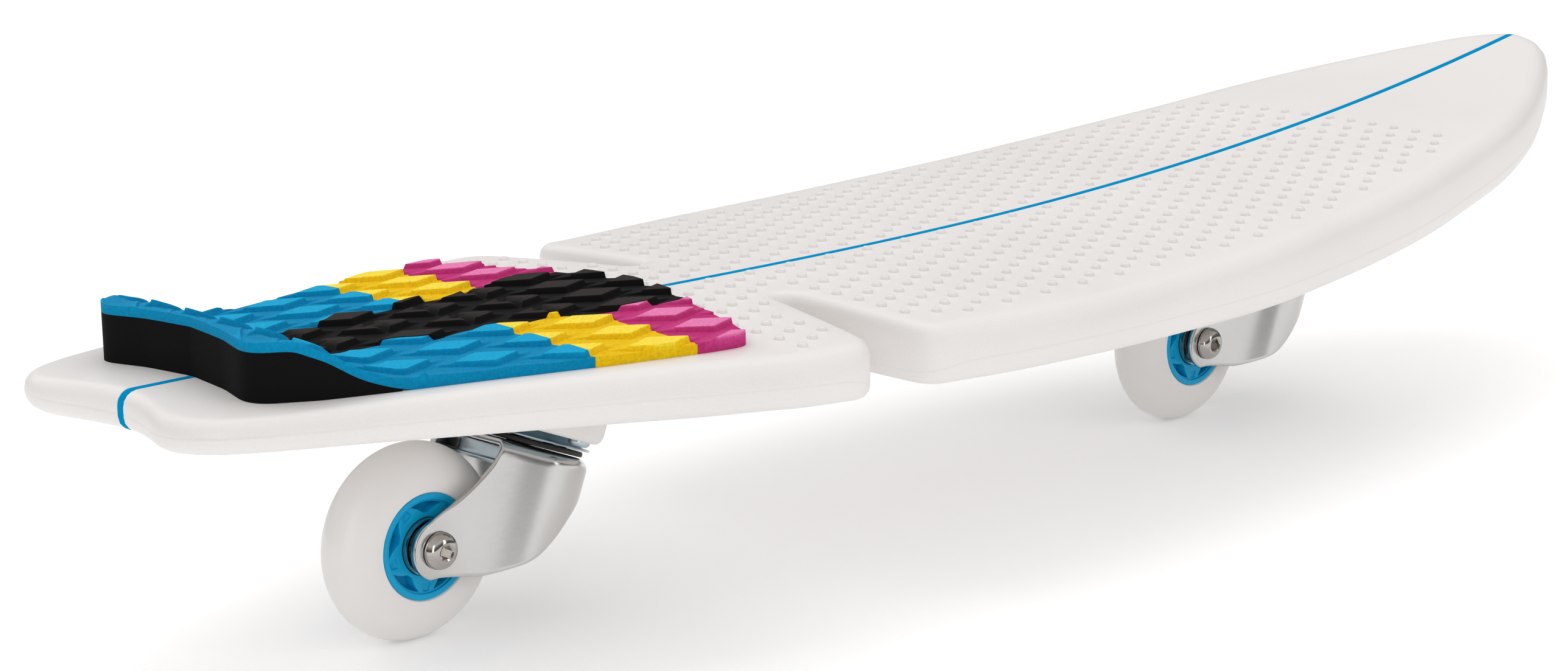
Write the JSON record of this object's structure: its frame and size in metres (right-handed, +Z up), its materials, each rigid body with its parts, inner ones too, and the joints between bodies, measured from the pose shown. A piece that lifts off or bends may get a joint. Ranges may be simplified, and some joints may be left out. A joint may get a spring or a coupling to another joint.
{
  "type": "caster board",
  "caption": "Caster board: a twisting surf-shaped deck with a narrow neck and foam grip pad, riding on inline wheels in forks that swivel on axes leaning towards the nose.",
  "frame": {"origin": "on the ground, under the middle of the board's length and width", "axes": "+X towards the nose, +Y towards the rider's left, +Z up; both wheels stand on z = 0"},
  "size_m": [0.8462, 0.256, 0.1504],
  "materials": {
    "deck_shell": "warm off-white moulded plastic with a soft gloss",
    "blue_stripe": "blue inlay, soft gloss",
    "black_foam": "matte closed-cell foam",
    "blue_foam": "matte closed-cell foam",
    "yellow_foam": "matte closed-cell foam",
    "magenta_foam": "matte closed-cell foam",
    "zinc_plated_steel": "bluish zinc plating, satin",
    "polished_steel": "polished steel",
    "black_rubber": "matte rubber",
    "satin_nickel_steel": "satin nickel plating on pressed sheet",
    "white_urethane": "cast urethane, soft gloss",
    "blue_plastic": "moulded plastic, gloss"
  },
  "bodies": {
    "front_deck": {"deck_front": "deck_shell", "stripe_front": "blue_stripe", "front_base_plate": "zinc_plated_steel", "front_plate_screw_1": "zinc_plated_steel", "front_plate_screw_2": "zinc_plated_steel", "front_plate_screw_3": "zinc_plated_steel", "front_plate_screw_4": "zinc_plated_steel", "front_kingpin": "polished_steel", "front_kingpin_nut": "zinc_plated_steel", "front_lower_cup": "zinc_plated_steel", "front_cup_lock_screw": "zinc_plated_steel"},
    "tail_deck": {"deck_tail": "deck_shell", "stripe_tail": "blue_stripe", "pad_kick_block": "black_foam", "pad_blue": "blue_foam", "pad_black": "black_foam", "pad_yellow_left": "yellow_foam", "pad_yellow_right": "yellow_foam", "pad_magenta_left": "magenta_foam", "pad_magenta_right": "magenta_foam", "rear_base_plate": "zinc_plated_steel", "rear_plate_screw_1": "zinc_plated_steel", "rear_plate_screw_2": "zinc_plated_steel", "rear_plate_screw_3": "zinc_plated_steel", "rear_plate_screw_4": "zinc_plated_steel", "rear_kingpin": "polished_steel", "rear_kingpin_nut": "zinc_plated_steel", "rear_lower_cup": "zinc_plated_steel", "rear_cup_lock_screw": "zinc_plated_steel"},
    "rear_swivel_fork": {"rear_fork": "satin_nickel_steel", "rear_dust_seal": "black_rubber", "rear_upper_ball_ring": "polished_steel", "rear_lower_ball_ring": "polished_steel", "rear_axle_bolt": "polished_steel", "rear_axle_nut": "zinc_plated_steel", "rear_hub_spacer": "polished_steel", "rear_bearing_inner_left": "polished_steel", "rear_bearing_inner_right": "polished_steel", "rear_side_spacer_left": "polished_steel", "rear_side_spacer_right": "polished_steel"},
    "rear_wheel": {"rear_tyre": "white_urethane", "rear_hub": "blue_plastic", "rear_bearing_outer_left": "polished_steel", "rear_bearing_outer_right": "polished_steel"},
    "front_swivel_fork": {"front_fork": "satin_nickel_steel", "front_dust_seal": "black_rubber", "front_upper_ball_ring": "polished_steel", "front_lower_ball_ring": "polished_steel", "front_axle_bolt": "polished_steel", "front_axle_nut": "zinc_plated_steel", "front_hub_spacer": "polished_steel", "front_bearing_inner_left": "polished_steel", "front_bearing_inner_right": "polished_steel", "front_side_spacer_left": "polished_steel", "front_side_spacer_right": "polished_steel"},
    "front_wheel": {"front_tyre": "white_urethane", "front_hub": "blue_plastic", "front_bearing_outer_left": "polished_steel", "front_bearing_outer_right": "polished_steel"}
  },
  "joints": [
    {"name": "deck_twist", "type": "hinge", "parent": "front_deck", "child": "tail_deck", "pos_m": [-0.133, 0, 0.1], "axis": [1, 0, 0], "range_deg": [-12, 12], "stiffness_Nm_per_rad": 60},
    {"name": "front_swivel", "type": "hinge", "parent": "front_deck", "child": "front_swivel_fork", "pos_m": [0.21381, 0, 0.06756], "axis": [0.3746, 0, 0.9272], "continuous": true},
    {"name": "rear_swivel", "type": "hinge", "parent": "tail_deck", "child": "rear_swivel_fork", "pos_m": [-0.23149, 0, 0.06756], "axis": [0.3746, 0, 0.9272], "continuous": true},
    {"name": "front_wheel_spin", "type": "hinge", "parent": "front_swivel_fork", "child": "front_wheel", "pos_m": [0.1583, 0, 0.038], "axis": [0, 1, 0], "continuous": true},
    {"name": "rear_wheel_spin", "type": "hinge", "parent": "rear_swivel_fork", "child": "rear_wheel", "pos_m": [-0.287, 0, 0.038], "axis": [0, 1, 0], "continuous": true}
  ]
}
